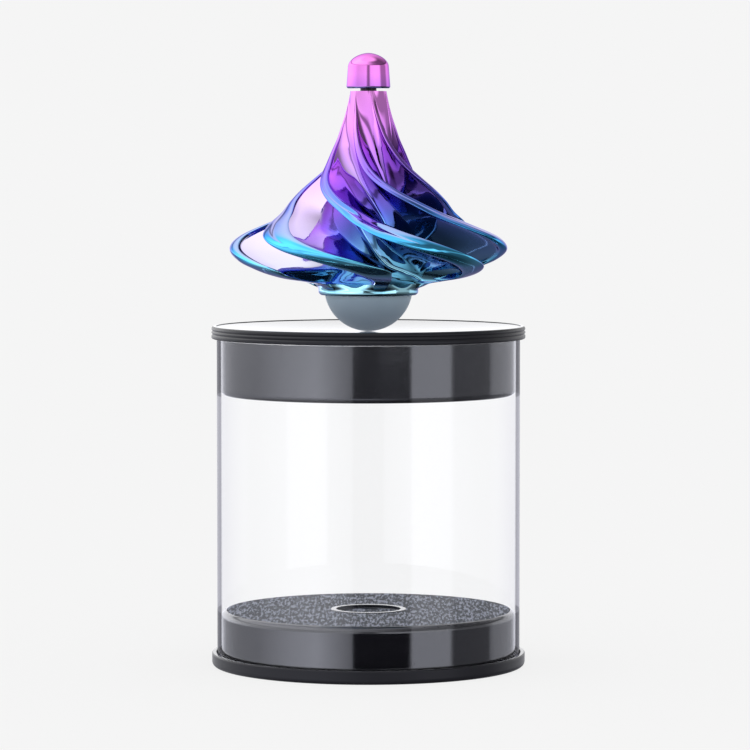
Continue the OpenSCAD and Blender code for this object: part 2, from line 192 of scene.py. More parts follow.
class Nodes:
    """Short calls for building one node tree."""

    def __init__(self, tree):
        self.tree = tree
        tree.nodes.clear()

    def add(self, kind, inputs=None, **settings):
        node = self.tree.nodes.new(kind)
        for key, value in settings.items():
            setattr(node, key, value)
        for key, value in (inputs or {}).items():
            if isinstance(value, bpy.types.NodeSocket):
                self.tree.links.new(value, node.inputs[key])
            else:
                node.inputs[key].default_value = value
        return node

    def math(self, operation, a, b=0.0, c=0.0, clamp=False):
        node = self.add("ShaderNodeMath", {0: a, 1: b, 2: c}, operation=operation, use_clamp=clamp)
        return node.outputs[0]

    def map(self, value, from_min, from_max, to_min=0.0, to_max=1.0, smooth=False):
        kind = "SMOOTHSTEP" if smooth else "LINEAR"
        node = self.add("ShaderNodeMapRange", {"Value": value, "From Min": from_min, "From Max": from_max,
                                               "To Min": to_min, "To Max": to_max}, interpolation_type=kind)
        return node.outputs[0]

    def ramp(self, fac, stops):
        node = self.add("ShaderNodeValToRGB", {"Fac": fac})
        ramp = node.color_ramp
        while len(ramp.elements) < len(stops):
            ramp.elements.new(0.5)
        for element, (place, colour) in zip(ramp.elements, stops):
            element.position = place
            element.color = (*colour, 1)
        return node.outputs["Color"]

    def mix(self, fac, a, b, blend="MIX"):
        node = self.add("ShaderNodeMix", {0: fac, 6: a, 7: b}, data_type="RGBA", blend_type=blend)
        return node.outputs[2]

    def noise(self, vector, scale, detail=3.0, roughness=0.5):
        return self.add("ShaderNodeTexNoise", {"Vector": vector, "Scale": scale, "Detail": detail,
                                               "Roughness": roughness}).outputs["Fac"]

    def bump(self, height, strength, distance):
        return self.add("ShaderNodeBump", {"Height": height, "Strength": strength,
                                           "Distance": distance}).outputs["Normal"]


def new_material(name):
    """A material and the calls that build its nodes."""
    material = bpy.data.materials.new(name)
    material.use_nodes = True
    return material, Nodes(material.node_tree)


def blend(n, fac, a, b):
    """a where fac is 0 and b where it is 1."""
    return n.add("ShaderNodeMix", {0: fac, 2: a, 3: b}, data_type="FLOAT").outputs[0]


def surface(n, shader):
    n.add("ShaderNodeOutputMaterial", {"Surface": shader})


def rgba(colour):
    return (*colour, 1.0)


def place(n):
    """Position in the piece's own space, in metres."""
    return n.add("ShaderNodeTexCoord").outputs["Object"]


def axes(n, vector):
    """The three coordinates of a vector."""
    xyz = n.add("ShaderNodeSeparateXYZ", {"Vector": vector})
    return [xyz.outputs[axis] for axis in "XYZ"]


def from_axis(n, x, y):
    """Distance from the object's upright axis."""
    return n.math("SQRT", n.math("ADD", n.math("MULTIPLY", x, x), n.math("MULTIPLY", y, y)))


def upward(n):
    """How far the surface faces up: 1 where it is level, 0 where it is upright, -1 underneath."""
    return axes(n, n.add("ShaderNodeNewGeometry").outputs["Normal"])[2]


def glancing(n):
    """0 where the surface faces the eye, and towards 1 where it is seen at a low angle."""
    return n.add("ShaderNodeLayerWeight", {"Blend": 0.5}).outputs["Facing"]


def plated(name, z0, z1, stops, highlight_low, highlight_high, roughness=0.05):
    """Mirror plating whose colour runs up the piece from z0 to z1.

    Faces turned upwards carry a painted highlight: they are paled, by the share given for low down and the
    share given for the top, and the blades' sheets are moved up the colours. The edges of curves carry
    painted shade, most of all on the rims' beads, and the blades' undersides are painted darker as shade.
    """
    material, n = new_material(name)
    where = place(n)
    height = axes(n, where)[2]
    up = upward(n)
    bead = n.add("ShaderNodeAttribute", attribute_name="bead").outputs["Fac"]
    hub = n.add("ShaderNodeAttribute", attribute_name="hub").outputs["Fac"]
    sheet = n.math("SUBTRACT", 1.0, bead, clamp=True)
    drift = n.map(n.noise(where, 90, 2), 0.3, 0.7, -0.02, 0.02)
    # Painted light: the sheets' upward faces are moved a little up the colours, towards violet and pink
    painted_uplift = n.math("MULTIPLY", n.map(up, 0.1, 0.9, 0.0, 0.10, smooth=True), sheet)
    sink = n.math("MULTIPLY", bead, BEAD_SINK)
    level = n.math("ADD", n.map(height, z0 * MM, z1 * MM), drift)
    level = n.math("SUBTRACT", n.math("ADD", level, painted_uplift), sink, clamp=True)
    body = n.ramp(level, stops)
    # Painted highlight: upward faces are paled towards the highlight colours, the beads only where nearly
    # level
    share = n.map(level, 0.45, 0.85, highlight_low, highlight_high, smooth=True)
    painted_highlight = n.math("MULTIPLY", share, blend(n, bead, n.map(up, 0.0, 0.55, smooth=True),
                                           n.map(up, 0.80, 0.97, 0.0, BEAD_PAINTED_HIGHLIGHT, smooth=True)))
    highlighted = n.mix(painted_highlight, body, n.ramp(level, PAINTED_HIGHLIGHT_STOPS))
    low_hub = n.math("MULTIPLY", hub, n.map(level, 0.12, 0.42, 0.85, 0.0, smooth=True))
    highlighted = n.mix(low_hub, highlighted, rgba(HUB_TONE))
    # Painted shade: edges seen at a low angle are darkened, most of all on the beads, less where the painted
    # highlight is
    edge_shade_start = n.map(bead, 0.0, 1.0, 0.70, 0.42)
    painted_edge_shade = n.math("MULTIPLY", n.map(glancing(n), edge_shade_start, 0.96, smooth=True),
                  n.map(painted_highlight, 0.0, 0.8, 1.0, 0.20))
    colour = n.mix(painted_edge_shade, highlighted, rgba(EDGE_SHADE), blend="MULTIPLY")
    # Painted shade: the blades' downward faces are darkened towards the underside colours
    underside_shade = n.math("MULTIPLY", n.map(up, -0.05, -0.45, 0.0, 0.75, smooth=True), sheet)
    colour = n.mix(underside_shade, colour, n.ramp(level, UNDERSIDE_SHADE_STOPS))
    haze = n.map(n.noise(where, 900, 4), 0.3, 0.8, roughness * 0.7, roughness * 1.5)
    ripple = n.bump(n.noise(where, 260, 3), 0.04, 0.0004)
    shader = n.add("ShaderNodeBsdfPrincipled", {"Base Color": colour, "Metallic": 1.0, "Roughness": haze,
                                                "Specular Tint": rgba(RIM_TINT), "Normal": ripple})
    surface(n, shader.outputs[0])
    return material


def metal(name, colour, roughness, grain=1800.0, stretch=(1, 1, 1), strength=0.15):
    """Plain metal with fine machining marks and a little tone change."""
    material, n = new_material(name)
    where = n.add("ShaderNodeMapping", {"Vector": place(n), "Scale": stretch}).outputs[0]
    marks = n.noise(where, grain, 4)
    tone = n.mix(n.map(n.noise(where, 300, 2), 0.3, 0.7), rgba([c * 0.85 for c in colour]), rgba(colour))
    shader = n.add("ShaderNodeBsdfPrincipled", {
        "Base Color": tone, "Metallic": 1.0, "Normal": n.bump(marks, strength, 0.00002),
        "Roughness": n.map(marks, 0.3, 0.7, roughness * 0.7, roughness * 1.3)})
    surface(n, shader.outputs[0])
    return material


def plastic(name, colour, roughness, grain=700.0, strength=0.1, coat=0.0):
    """Moulded plastic with a faint grain, flow marks and dust-fine gloss variation."""
    material, n = new_material(name)
    where = place(n)
    fine = n.noise(where, grain * 3, 4)
    cloud = n.noise(where, 120, 3)
    darker, lighter = [c * 0.8 for c in colour], [min(1, c * 1.1) for c in colour]
    tone = n.mix(n.map(cloud, 0.3, 0.7), rgba(darker), rgba(lighter))
    shader = n.add("ShaderNodeBsdfPrincipled", {
        "Base Color": tone, "Roughness": n.map(cloud, 0.25, 0.75, roughness * 0.75, roughness * 1.25),
        "Specular IOR Level": 0.5, "Coat Weight": coat, "Coat Roughness": 0.04,
        "Normal": n.bump(fine, strength, 0.00003)})
    surface(n, shader.outputs[0])
    return material


def black_moulding(name, deck=None):
    """Polished black moulding, duller round its rim, with a hatched grain on the deck where it has one, whose
    strokes carry a painted sheen when seen at a low angle.
    """
    material, n = new_material(name)
    where = place(n)
    x, y, z = axes(n, where)
    up = upward(n)
    rim = n.math("MULTIPLY", n.math("GREATER_THAN", from_axis(n, x, y), (TUBE_R + 0.05) * MM),
                 n.math("LESS_THAN", up, 0.9))
    along = n.add("ShaderNodeMapping", {"Vector": where, "Scale": (0.1, 0.1, 1)}).outputs[0]
    lines = n.noise(along, 4000, 3)
    tone = n.mix(rim, rgba(BLACK), rgba(CHARCOAL))
    rough = n.math("ADD", n.map(rim, 0, 1, 0.06, 0.34), n.map(lines, 0.3, 0.7, 0.0, 0.03))
    gloss = n.map(rim, 0, 1, 1.0, 0.22)
    height = n.math("MULTIPLY", n.noise(where, 1500, 4), 0.04)
    if deck:
        level = n.math("MULTIPLY", n.math("GREATER_THAN", z, (deck - 1.0) * MM),
                       n.math("LESS_THAN", z, (deck + 0.05) * MM))
        grained = n.math("MULTIPLY", level, n.math("GREATER_THAN", up, 0.97))
        grain = hatching(n, where)
        # Painted sheen: the deck's strokes are brighter when seen at a low angle than from above
        painted_stroke_sheen = n.mix(n.map(glancing(n), 0.45, 0.9, smooth=True), rgba(STROKE_FROM_ABOVE), rgba(STROKE_SHEEN_ASLANT))
        strokes = n.mix(n.map(grain, 0.47, 0.60), rgba(STROKE_GAP), painted_stroke_sheen)
        tone = n.mix(grained, tone, strokes)
        rough = blend(n, grained, rough, 0.6)
        gloss = blend(n, grained, gloss, 0.15)
        height = blend(n, grained, height, grain)
    shader = n.add("ShaderNodeBsdfPrincipled", {
        "Base Color": tone, "Roughness": rough, "Specular IOR Level": gloss, "Specular Tint": rgba(COOL),
        "Normal": n.bump(height, 0.4, 0.0001)})
    surface(n, shader.outputs[0])
    return material


def hatching(n, where):
    """Fine slanted strokes, broken up unevenly, from 0 to 1."""
    slant = n.add("ShaderNodeMapping", {
        "Vector": where, "Rotation": (0, 0, math.radians(5)), "Scale": (1, 0.12, 1)}).outputs[0]
    strokes = n.noise(slant, 1900, 2, 0.7)
    patches = n.noise(where, 170, 2)
    return n.math("ADD", strokes, n.map(patches, 0.3, 0.7, -0.05, 0.05))


def clear_plastic(name):
    """Clear tube wall: see-through, but dark at the sides, where it is seen through its own thickness; that
    darkening is painted shade for the dark edges that refraction gives, darkest beside the black plugs.
    """
    material, n = new_material(name)
    where = place(n)
    x, y, z = axes(n, where)
    outside = n.math("GREATER_THAN", from_axis(n, x, y), (TUBE_R - TUBE_WALL / 2) * MM)
    beside_plug = n.math("MAXIMUM", n.math("GREATER_THAN", z, low("case_lid") * MM),
                         n.math("LESS_THAN", z, high("case_base") * MM))
    facing = glancing(n)
    # Painted shade: the wall's sides darken where seen aslant, more beside the black plugs, in place of
    # refraction
    painted_side_shade = n.math("MULTIPLY", outside, n.map(facing, 0.74, 0.79, smooth=True))
    wall_shade = n.mix(beside_plug, rgba(WALL_SIDE_SHADE), rgba(WALL_SIDE_SHADE_BESIDE_PLUG))
    clear_tone = n.mix(n.map(facing, 0.35, 0.85, smooth=True), rgba(CLEAR_AHEAD), rgba(CLEAR_ASLANT))
    tint = n.mix(painted_side_shade, clear_tone, wall_shade)
    through = n.add("ShaderNodeBsdfTransparent", {"Color": tint})
    haze = n.map(n.noise(where, 400, 3), 0.3, 0.8, 0.01, 0.04)
    mirror = n.add("ShaderNodeBsdfPrincipled", {
        "Base Color": rgba((0.97, 0.97, 1.0)), "Metallic": 1.0, "Roughness": haze,
        "Normal": n.bump(n.noise(where, 60, 2), 0.02, 0.0005)})
    share = n.math("MULTIPLY_ADD", n.math("POWER", facing, 6.0), n.math("MULTIPLY", outside, 0.26), 0.016)
    rounded_end = n.map(n.math("ABSOLUTE", upward(n)), 0.2, 0.6, 0.0, 0.6)
    share = n.math("MAXIMUM", share, rounded_end)
    path = n.add("ShaderNodeLightPath")
    unseen = n.math("MAXIMUM", path.outputs["Is Shadow Ray"], path.outputs["Is Diffuse Ray"])
    share = n.math("MULTIPLY", share, n.math("SUBTRACT", 1.0, unseen))
    mixed = n.add("ShaderNodeMixShader", {0: share, 1: through.outputs[0], 2: mirror.outputs[0]})
    surface(n, mixed.outputs[0])
    return material


def frosted(name, z0, z1):
    """Frosted ball: milky blue-grey, lighter towards its rim at z1 than at its foot z0 by painted shade, with
    a painted glow that is strongest at the foot.
    """
    material, n = new_material(name)
    where = place(n)
    grain = n.noise(where, 2600, 4)
    # Painted light: the colour lightens towards the rim, and the emission brightens the foot, though no lamp
    # lights it
    height = n.map(axes(n, where)[2], z0 * MM, z1 * MM)
    level = n.math("ADD", height, n.map(n.noise(where, 160, 2), 0.3, 0.7, -0.06, 0.06))
    shader = n.add("ShaderNodeBsdfPrincipled", {
        "Base Color": n.ramp(level, FROST_TONE_AND_SHADE_STOPS), "IOR": 1.49,
        "Roughness": n.map(grain, 0.3, 0.7, 0.42, 0.55),
        "Transmission Weight": 0.08, "Subsurface Weight": 0.3, "Subsurface Scale": 0.002,
        "Emission Color": rgba(PAINTED_FROST_GLOW), "Emission Strength": n.map(level, 0.0, 1.0, 0.26, 0.06),
        "Subsurface Radius": (0.6, 0.8, 1.0), "Normal": n.bump(grain, 0.25, 0.00003)})
    surface(n, shader.outputs[0])
    return material


def floor_paint(name, tone, glow):
    """Pale floor that glows a little, so that what stands on it throws only a faint shadow."""
    material, n = new_material(name)
    cloud = n.map(n.noise(place(n), 6, 2), 0.3, 0.7)
    colour = n.mix(cloud, rgba([tone * 0.985] * 3), rgba([tone] * 3))
    shader = n.add("ShaderNodeBsdfPrincipled", {
        "Base Color": colour, "Roughness": 1.0, "Specular IOR Level": 0.0,
        "Emission Color": rgba((1, 1, 1)), "Emission Strength": n.math("ADD", glow, behind_glass(n))})
    surface(n, shader.outputs[0])
    return material


def behind_glass(n):
    """How much brighter the backdrop is where it is seen through the tube, which gathers light."""
    depth = n.add("ShaderNodeLightPath").outputs["Transparent Depth"]
    return n.map(depth, 0.0, 2.0, 0.0, TUBE_GLOW)


# Colours of the plating from the foot of the rotor (0) to its neck (1)
ROTOR_STOPS = [
    (0.00, (0.34, 0.64, 0.72)),
    (0.10, (0.11, 0.52, 0.78)),
    (0.20, (0.06, 0.42, 0.80)),
    (0.30, (0.08, 0.31, 0.77)),
    (0.42, (0.16, 0.20, 0.70)),
    (0.54, (0.27, 0.15, 0.68)),
    (0.68, (0.42, 0.17, 0.70)),
    (0.84, (0.60, 0.21, 0.68)),
    (1.00, (0.64, 0.22, 0.62)),
]
KNOB_STOPS = [(0.0, (0.46, 0.16, 0.62)), (0.4, (0.66, 0.20, 0.68)), (1.0, (0.70, 0.17, 0.58))]
# Painted highlight: the colour that upward faces are paled towards at each level, and how much less the rims'
# beads are paled
PAINTED_HIGHLIGHT_STOPS = [
    (0.00, (0.70, 0.93, 0.98)),
    (0.12, (0.80, 0.92, 0.99)),
    (0.24, (0.87, 0.86, 0.99)),
    (0.42, (0.84, 0.72, 0.99)),
    (0.70, (0.82, 0.56, 0.97)),
    (1.00, (0.92, 0.52, 0.92)),
]
BEAD_PAINTED_HIGHLIGHT = 0.60
# Painted shade: what the blades' undersides are darkened towards at each level
UNDERSIDE_SHADE_STOPS = [(0.10, (0.15, 0.27, 0.33)), (0.35, (0.06, 0.10, 0.28)), (0.65, (0.16, 0.06, 0.28))]
# Painted shade that the edges of curves are darkened by, and the tint at grazing angles
EDGE_SHADE = (0.30, 0.24, 0.46)
RIM_TINT = (0.55, 0.50, 0.70)
# How far down the colours the rims' beads reach, and the tone of the hub low down
BEAD_SINK = 0.08
HUB_TONE = (0.44, 0.80, 0.90)
# Black mouldings: polished, and duller round the rims; and the tint of what they mirror
BLACK = (0.006, 0.006, 0.008)
CHARCOAL = (0.010, 0.010, 0.013)
COOL = (0.90, 0.92, 1.0)
# Strokes of the deck's grain as seen at a low angle, where they carry a painted sheen, and from above, and
# what lies between them
STROKE_SHEEN_ASLANT = (0.26, 0.28, 0.35)
STROKE_FROM_ABOVE = (0.030, 0.033, 0.042)
STROKE_GAP = (0.008, 0.012, 0.022)
# Tube: seen straight ahead and aslant, and at the sides, where painted shade stands in for the dark edges
# that refraction through its thickness gives, darker beside the black plugs
CLEAR_AHEAD = (0.997, 0.998, 1.0)
CLEAR_ASLANT = (0.975, 0.975, 0.985)
WALL_SIDE_SHADE = (0.62, 0.62, 0.66)
WALL_SIDE_SHADE_BESIDE_PLUG = (0.30, 0.30, 0.33)
# Ball, from its foot (0) to its rim (1), lighter towards the rim by painted shade, and a painted glow,
# strongest at the foot
FROST_TONE_AND_SHADE_STOPS = [
    (0.00, (0.34, 0.35, 0.40)),
    (0.35, (0.28, 0.34, 0.41)),
    (0.80, (0.42, 0.53, 0.62)),
    (1.00, (0.40, 0.52, 0.60)),
]
PAINTED_FROST_GLOW = (0.30, 0.39, 0.49)


# ---------------------------------------------------------------- rotor

BLADES = 6
# Stations down the rotor: height over the ball's foot, turn of the rim, rim radius, valley radius,
# half the rim's width as an angle. They are the stations of the CAD rotor.
STATIONS = np.array([
    [47.35, -49.0, 3.66, 3.60, 7.0],
    [45.0, -43.0, 4.10, 3.62, 6.0],
    [42.5, -36.0, 4.68, 3.66, 5.4],
    [40.0, -29.5, 5.50, 3.72, 5.0],
    [37.8, -22.8, 6.30, 3.80, 5.0],
    [35.4, -14.5, 7.55, 3.90, 5.1],
    [33.0, -5.5, 9.00, 4.00, 5.2],
    [30.6, 5.5, 11.0, 4.15, 5.6],
    [28.3, 18.5, 13.1, 4.30, 6.0],
    [25.9, 34.0, 15.3, 4.50, 6.8],
    [23.5, 49.5, 17.8, 4.70, 7.8],
    [21.2, 62.5, 21.9, 4.90, 8.8],
    [18.8, 75.5, 26.0, 5.10, 9.6],
    [16.4, 90.5, 27.5, 5.30, 10.2],
    [14.0, 109.0, 26.3, 5.60, 10.2],
    [12.6, 119.5, 24.6, 6.10, 10.0],
    [11.5, 124.5, 22.6, 7.10, 7.2],
    [10.6, 127.8, 19.6, 8.30, 5.6],
    [10.0, 130.3, 15.8, 9.15, 5.6],
    [9.5, 131.8, 12.8, 9.62, 6.5],
    [8.9, 132.6, 11.2, 9.84, 7.0],
    [8.35, 132.8, 10.0, 9.90, 6.0],
    [7.6, 132.8, 9.88, 9.86, 6.0],
    [7.2, 132.8, 9.52, 9.50, 6.0],
])
# How many degrees a full blade's root leads its tip, and how deep a full blade is
ROOT_LEAD = 9.0
FULL_BLADE = 22.0
# Share of the rim's width that the sheet behind it keeps, once the blade is SHARE_DEPTH deep
SHEET_SHARE = 0.58
SHARE_DEPTH = 7.0
# Roundness of the rim's bead: 1 is an ellipse, less is squarer
CAP_POWER = 0.75
# Stepped bore from the foot up as (radius, height): round the ball, the hub's flange and body, the bush
BORE = ((9.0, 7.2), (9.0, 9.4), (6.05, 9.4), (6.05, 10.65), (4.75, 10.65), (4.75, 14.95), (3.0, 14.95))
BORE_TOP = (3.0, 47.35)


def station(s):
    """Station number s, which may be a fraction, on a Catmull-Rom curve through the table."""
    last = len(STATIONS) - 1
    i = min(int(s), last - 1)
    t = s - i
    a, b, c, d = (STATIONS[max(0, min(last, k))] for k in (i - 1, i, i + 1, i + 2))
    return 0.5 * (2 * b + (c - a) * t + (2 * a - 5 * b + 4 * c - d) * t ** 2
                  + (3 * b - a - 3 * c + d) * t ** 3)


def bead_depth(depth):
    """How far in from the tip the rounded bead on the rim of a blade of this depth goes."""
    return min(0.4 * depth, 0.3 + 0.047 * depth)


def half_blade(depth, width, steps):
    """Half a blade's outline from the middle of the valley to the tip: (distance out, half angle) pairs."""
    fillet = min(0.75 * depth, 2 + 0.12 * depth)
    cap = bead_depth(depth)
    sheet = width * (1 - (1 - SHEET_SHARE) * min(1.0, depth / SHARE_DEPTH))
    shoulder = max(fillet, depth - 1.8 * cap)
    half_pitch = 180 / BLADES
    out = []
    for k in range(steps[0]):
        t = math.pi / 2 * k / steps[0]
        out.append((fillet * (1 - math.cos(t)), half_pitch - (half_pitch - sheet) * math.sin(t)))
    for k in range(steps[1]):
        out.append((fillet + (shoulder - fillet) * k / steps[1], sheet))
    for k in range(steps[2]):
        t = k / steps[2]
        out.append((shoulder + (depth - cap - shoulder) * t, sheet + (width - sheet) * t * t * (3 - 2 * t)))
    for k in range(steps[3] + 1):
        t = math.pi / 2 * k / steps[3]
        out.append((depth - cap + cap * math.sin(t) ** CAP_POWER, width * max(0.0, math.cos(t)) ** CAP_POWER))
    return out


def rotor_ring(s, steps):
    """A level section of the rotor: its points, and how far each belongs to a bead and to the hub."""
    height, turn, rim, valley, width = station(s)
    depth = rim - valley
    lead = ROOT_LEAD * depth / FULL_BLADE
    half = half_blade(depth, width, steps)
    fillet = half[steps[0]][0]
    cap = bead_depth(depth)
    points, bead, hub = [], [], []
    for k in range(BLADES):
        for side, walk in ((-1, half), (1, half[:0:-1])):
            for out, angle in walk:
                a = math.radians(turn - 90 + 360 * k / BLADES + lead * (1 - out / depth) + side * angle)
                points.append(((valley + out) * math.cos(a), (valley + out) * math.sin(a), height + GYRO_Z))
                bead.append(min(1.0, max(0.0, (out - depth + 1.6 * cap) / (0.6 * cap))) * min(1.0, depth / 3))
                hub.append(max(0.0, 1 - out / fillet))
    return points, bead, hub


def bore_ring(s, count, radius, height):
    """A circle of as many points as a ring, started where the ring at station s starts."""
    start = math.radians(station(s)[1] - 90 - 180 / BLADES)
    angles = [start + 2 * math.pi * j / count for j in range(count)]
    return [(radius * math.cos(a), radius * math.sin(a), height + GYRO_Z) for a in angles]


def rotor():
    """Six spiral blades on a hub, open below around the ball, with the stepped bore for hub and bush."""
    steps = ((14, 6, 8, 9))
    per_station = 9
    last = len(STATIONS) - 1
    levels = [rotor_ring(i / per_station, steps) for i in range(last * per_station + 1)]
    rings = [points for points, _, _ in levels]
    count = len(rings[0])
    for radius, height in BORE:
        rings.append(bore_ring(last, count, radius, height))
    top = bore_ring(0, count, *BORE_TOP)
    rings.append(top[count // 2:] + top[:count // 2])
    points = [p for ring in rings for p in ring]
    faces = []
    for i in range(len(rings)):
        last_band = i == len(rings) - 1
        after, shift = (0, count // 2) if last_band else (i + 1, 0)
        for j in range(count):
            k = (j + 1) % count
            faces.append((i * count + j, i * count + k,
                          after * count + (k + shift) % count, after * count + (j + shift) % count))
    material = plated("rotor_plating", GYRO_Z + 7, GYRO_Z + 48, ROTOR_STOPS, 0.92, 0.25)
    inside = [0.0] * (count * (len(rings) - len(levels)))
    marks = {"bead": [b for _, bead, _ in levels for b in bead] + inside,
             "hub": [h for _, _, hub in levels for h in hub] + inside}
    obj = add_object("rotor_shell", points, faces, "rotor", material, sharp=50, marks=marks)
    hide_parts("rotor")
    return obj


# ---------------------------------------------------------------- other parts of the top

def hub():
    """Moulded hub inside the rotor that the lower bearing is pressed into."""
    seat_r, groove_r, shoulder_r, body_r, flange_r = 4.0, 4.3, 3.3, 4.7, 6.0
    foot, groove_foot, groove_top = GYRO_Z + 9.4, GYRO_Z + 9.85, GYRO_Z + 10.25
    flange_top, seat_top, top = GYRO_Z + 10.6, GYRO_Z + 14.3, GYRO_Z + 14.9
    outline = rounded([
        (seat_r, foot, 0.1), (flange_r, foot, 0.1), (flange_r, flange_top, 0.15), (body_r, flange_top, 0),
        (body_r, top, 0.15), (shoulder_r, top, 0.1), (shoulder_r, seat_top, 0), (seat_r, seat_top, 0),
        (seat_r, groove_top, 0), (groove_r, groove_top, 0), (groove_r, groove_foot, 0),
        (seat_r, groove_foot, 0)])
    obj = lathe("hub_shell", outline, "rotor", plastic("hub_grey", (0.14, 0.15, 0.16), 0.45))
    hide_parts("bearing_hub")


def knob():
    """Knob with straight sides, a small step and a dome, bored for the end of the shaft."""
    z0, z1 = low("finger_knob"), high("finger_knob")
    side = (z1 - z0) * KNOB_SIDE
    dome = (z1 - z0) - side
    dome_share, dome_power, bore_r = 0.935, 1.15, 1.0
    steps = 28
    outline = [(bore_r, z0)] + arc(KNOB_R - KNOB_FOOT, z0 + KNOB_FOOT, KNOB_FOOT, -90, 0, 8)
    for i in range(steps + 1):
        t = math.pi / 2 * i / steps
        r = KNOB_R * dome_share * max(0.0, math.cos(t)) ** dome_power
        outline.append((r if i < steps else 0.0, z0 + side + dome * math.sin(t)))
    bore_top = high("shaft")
    outline += [(0.0, bore_top), (bore_r, bore_top)]
    material = plated("knob_plating", z0, z1, KNOB_STOPS, 0.0, 0.1)
    obj = lathe("knob_cap", outline, "core", material)
    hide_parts("finger_knob")


def ball():
    """Frosted bowl of the ball, open where the carrier closes it."""
    top = high("ball_dome")
    centre = GYRO_Z + BALL_R
    steps = 48

    def side(radius):
        end = math.degrees(math.asin((top - centre) / radius))
        return arc(0, centre, radius, -90, end, steps)

    outer, inner = side(BALL_R), side(BALL_R - BOWL_WALL)
    outer[0], inner[0] = (0.0, outer[0][1]), (0.0, inner[0][1])
    obj = lathe("ball_bowl", outer + inner[::-1], "core",
                frosted("ball_frost", GYRO_Z, top))
    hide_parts("ball_dome")


# ---------------------------------------------------------------- case

def tube():
    """Clear tube with its ends' edges rounded."""
    outline = supported(rounded([
        (TUBE_R - TUBE_WALL, TUBE_Z0, 0.12), (TUBE_R, TUBE_Z0, 0.12),
        (TUBE_R, TUBE_Z1, 0.12), (TUBE_R - TUBE_WALL, TUBE_Z1, 0.12)], 3))
    obj = lathe("tube_wall", outline, "tube", clear_plastic("case_clear"), steps=320)
    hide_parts("case_tube")


def lid():
    """Lid: dished top with a crest round it, a grooved rim, and a skirt that goes down into the tube.

    It isn't seen in mirrors, because the real top mirrors hardly any of it.
    """
    z0, z1 = TUBE_Z1 + GAP, high("case_lid")
    stand = GYRO_Z - GAP
    skirt = low("case_lid")
    inside = PLUG_R - SKIRT_WALL
    plate = stand - PLATE_WALL
    crest_r = RIM_R - CREST_W
    rise = z1 - CREST_H - stand
    steps = 20
    dish = [(DISH_FLAT_R + (crest_r - DISH_FLAT_R) * i / steps, stand + rise * (i / steps) ** 2, 0)
            for i in range(steps + 1)]
    side = [(crest_r + 0.05, z1, 0.08), (RIM_R, z1, 0.6)]
    half_groove = 0.26
    for share in GROOVE_SHARES:
        middle = z0 + (z1 - z0) * share
        side += [(RIM_R, middle + half_groove, 0.08), (RIM_R - GROOVE_DEPTH, middle, 0.12),
                 (RIM_R, middle - half_groove, 0.08)]
    outline = rounded([(0.0, stand, 0)] + dish + side + [
        (RIM_R, z0, 0.3), (PLUG_R, z0, 0), (PLUG_R, skirt, 1.0), (inside, skirt, 0.2), (inside, plate, 0.6),
        (0.0, plate, 0)])
    obj = lathe("lid_shell", supported(outline), "lid", black_moulding("lid_black"), steps=320)
    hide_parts("case_lid")
    obj.visible_glossy = False


def base():
    """Base: rim with a lip, plug for the foot of the tube, and a ring round the pocket in its deck."""
    deck = high("case_base") - RING_H
    pocket_floor = deck - POCKET_DEPTH
    lip = BASE_RIM_H + BASE_LIP_H
    ring_r = POCKET_R + RING_W
    inside = PLUG_R - BASE_WALL
    pocket_back_r = POCKET_R + BASE_WALL
    outline = rounded([
        (0.0, pocket_floor, 0), (POCKET_R, pocket_floor, 0.15), (POCKET_R, deck + RING_H, 0.08),
        (ring_r - 0.05, deck + RING_H, 0.08), (ring_r, deck, 0), (PLUG_R, deck, 1.3),
        (PLUG_R, BASE_RIM_H, 0.05),
        (RIM_R - LIP_W, BASE_RIM_H, 0.05), (RIM_R - LIP_W, lip, 0.15), (RIM_R, lip, 0.3), (RIM_R, 0.0, 0.9),
        (inside, 0.0, 0.2), (inside, deck - BASE_WALL, 0.6), (pocket_back_r, deck - BASE_WALL, 0.6),
        (pocket_back_r, pocket_floor - BASE_WALL, 0.3), (0.0, pocket_floor - BASE_WALL, 0)])
    obj = lathe("base_shell", supported(outline), "base", black_moulding("base_black", deck),
                steps=320)
    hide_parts("case_base")


# ---------------------------------------------------------------- materials of the carried-over CAD nodes

def finish_inner_parts():
    """Gives the inner pieces, which are the CAD's own, their materials."""
    steel = metal("bearing_steel", (0.72, 0.73, 0.75), 0.16)
    sheet = metal("spring_steel", (0.60, 0.61, 0.63), 0.30, stretch=(6, 1, 1))
    brass = metal("cage_brass", (0.66, 0.50, 0.26), 0.25)
    finishes = {
        "core_carrier": plastic("carrier_plastic", (0.72, 0.73, 0.75), 0.45),
        "led_board": plastic("board", (0.02, 0.18, 0.07), 0.35),
        "leds": plastic("led_body", (0.85, 0.80, 0.50), 0.2, coat=0.4),
        "flash_chip": plastic("chip_blob", (0.015, 0.015, 0.016), 0.4),
        "switch_spring": metal("contact_brass", (0.72, 0.56, 0.28), 0.2),
        "switch_pin": metal("pin_brass", (0.70, 0.55, 0.28), 0.25),
        "coin_cell": metal("cell_steel", (0.66, 0.67, 0.68), 0.28, stretch=(1, 1, 8)),
        "battery_clip": sheet,
        "shaft": metal("shaft_steel", (0.62, 0.63, 0.64), 0.22, stretch=(1, 1, 8)),
        "shaft_clip": sheet,
        "knob_washer": plastic("washer_black", (0.02, 0.02, 0.024), 0.4),
        "lower_inner_race": steel, "lower_balls": steel, "lower_outer_race": steel,
        "upper_inner_race": steel, "upper_balls": steel, "upper_outer_race": steel,
        "lower_cage": brass, "upper_cage": brass,
        "lower_shields": sheet, "upper_shields": sheet,
        "bearing_retainer": sheet,
        "neck_bush": metal("bush_brass", (0.70, 0.55, 0.28), 0.25),
    }
    for name, material in finishes.items():
        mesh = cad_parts[name].data
        mesh.materials.clear()
        mesh.materials.append(material)


# ---------------------------------------------------------------- floor, light and camera

